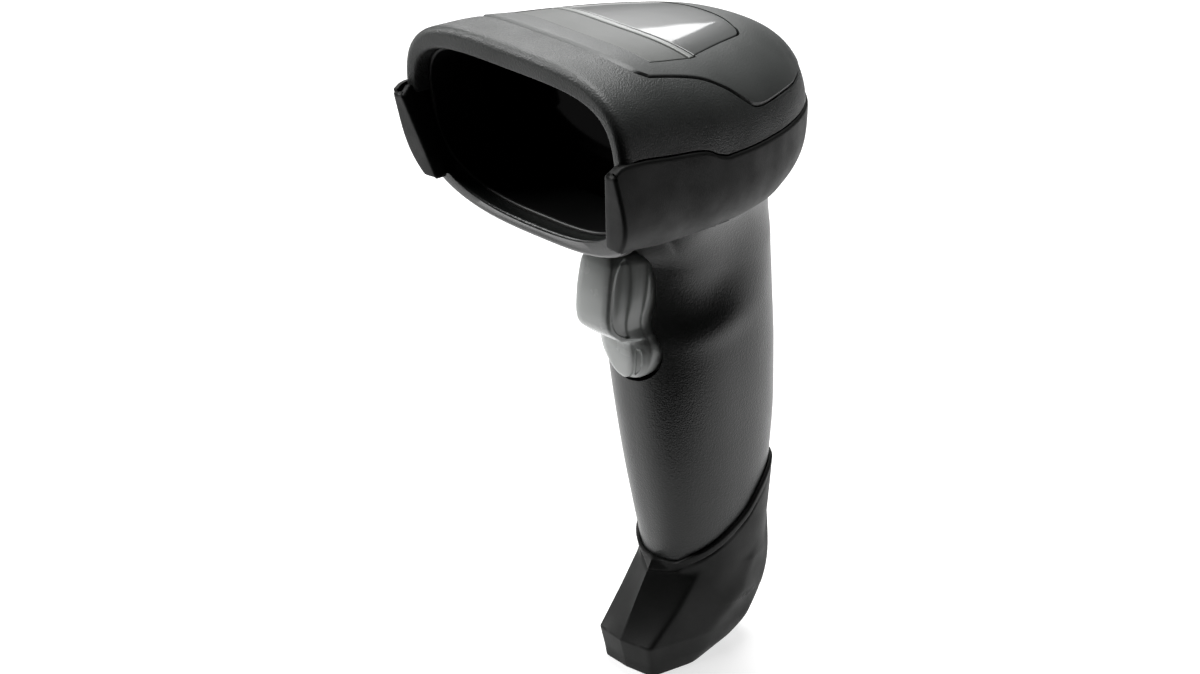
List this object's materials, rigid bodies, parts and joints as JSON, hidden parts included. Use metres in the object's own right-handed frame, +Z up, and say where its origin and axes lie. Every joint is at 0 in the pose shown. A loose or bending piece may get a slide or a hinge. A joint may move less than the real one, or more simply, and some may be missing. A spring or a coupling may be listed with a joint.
{
  "type": "handheld barcode scanner",
  "caption": "Corded handheld barcode scanner: hooded head with a deep scan opening, pistol grip, sprung trigger and rubber boot with a cable jack.",
  "frame": {"origin": "under the middle of the object's box, at the height of the boot's lowest point", "axes": "+Z up the grip, the scan window faces -Y, +X is the symmetry direction"},
  "size_m": [0.0668, 0.0884, 0.1645],
  "materials": {
    "dark_abs": "fine moulded texture",
    "satin_abs": "satin",
    "plate_grey": "satin",
    "lens_gloss": "gloss",
    "light_pipe": "translucent",
    "bumper_rubber": "matte",
    "tinted_pane": "tinted",
    "trigger_grey": "gloss",
    "steel": "ground",
    "black_nylon": "moulded",
    "white_nylon": "moulded",
    "circuit_board": "solder mask",
    "chip_epoxy": "matte",
    "tinplate": "bright",
    "polyimide": "film",
    "anodised_black": "anodised",
    "lens_glass": "coated",
    "lamp_epoxy": "clear epoxy",
    "gold_contact": "plated",
    "boot_rubber": "matte"
  },
  "bodies": {
    "scanner": {"hood_shell": "dark_abs", "saddle_cover": "satin_abs", "name_plate": "plate_grey", "lens_panel": "lens_gloss", "light_bar": "light_pipe", "head_bumper": "bumper_rubber", "grip_housing": "satin_abs", "window_bezel": "dark_abs", "window_gasket": "bumper_rubber", "exit_window": "tinted_pane", "trigger_pin": "steel", "switch_body": "black_nylon", "switch_board": "circuit_board", "board_carrier": "black_nylon", "main_board": "circuit_board", "board_chips": "chip_epoxy", "board_shield": "tinplate", "board_screws": "steel", "beeper": "black_nylon", "flex_cable": "polyimide", "engine_cradle": "black_nylon", "engine_chassis": "black_nylon", "engine_screws": "steel", "lens_barrel": "anodised_black", "lens_glass": "lens_glass", "sensor_board": "circuit_board", "sensor_chip": "chip_epoxy", "illumination_lamps": "lamp_epoxy", "aimer_lamp": "lamp_epoxy", "status_lamp_board": "circuit_board", "status_lamps": "lamp_epoxy", "head_screws": "steel", "jack_shell": "black_nylon", "jack_contacts": "gold_contact", "jack_board": "circuit_board", "rubber_boot": "boot_rubber"},
    "trigger": {"trigger": "trigger_grey", "trigger_spring": "steel"},
    "switch_plunger": {"switch_plunger": "white_nylon"}
  },
  "joints": [
    {"name": "trigger_pull", "type": "hinge", "parent": "scanner", "child": "trigger", "pos_m": [0, 0.00575, 0.084], "axis": [-1, 0, 0], "range_deg": [0, 5], "stiffness_Nm_per_rad": 0.25, "springref_deg": -5.73},
    {"name": "plunger_press", "type": "slide", "parent": "scanner", "child": "switch_plunger", "axis": [0, 1, 0], "range_m": [0, 0.0013]}
  ],
  "couplings": [
    {"joint": "plunger_press", "follows": "trigger_pull", "m_per_rad": 0.013}
  ]
}
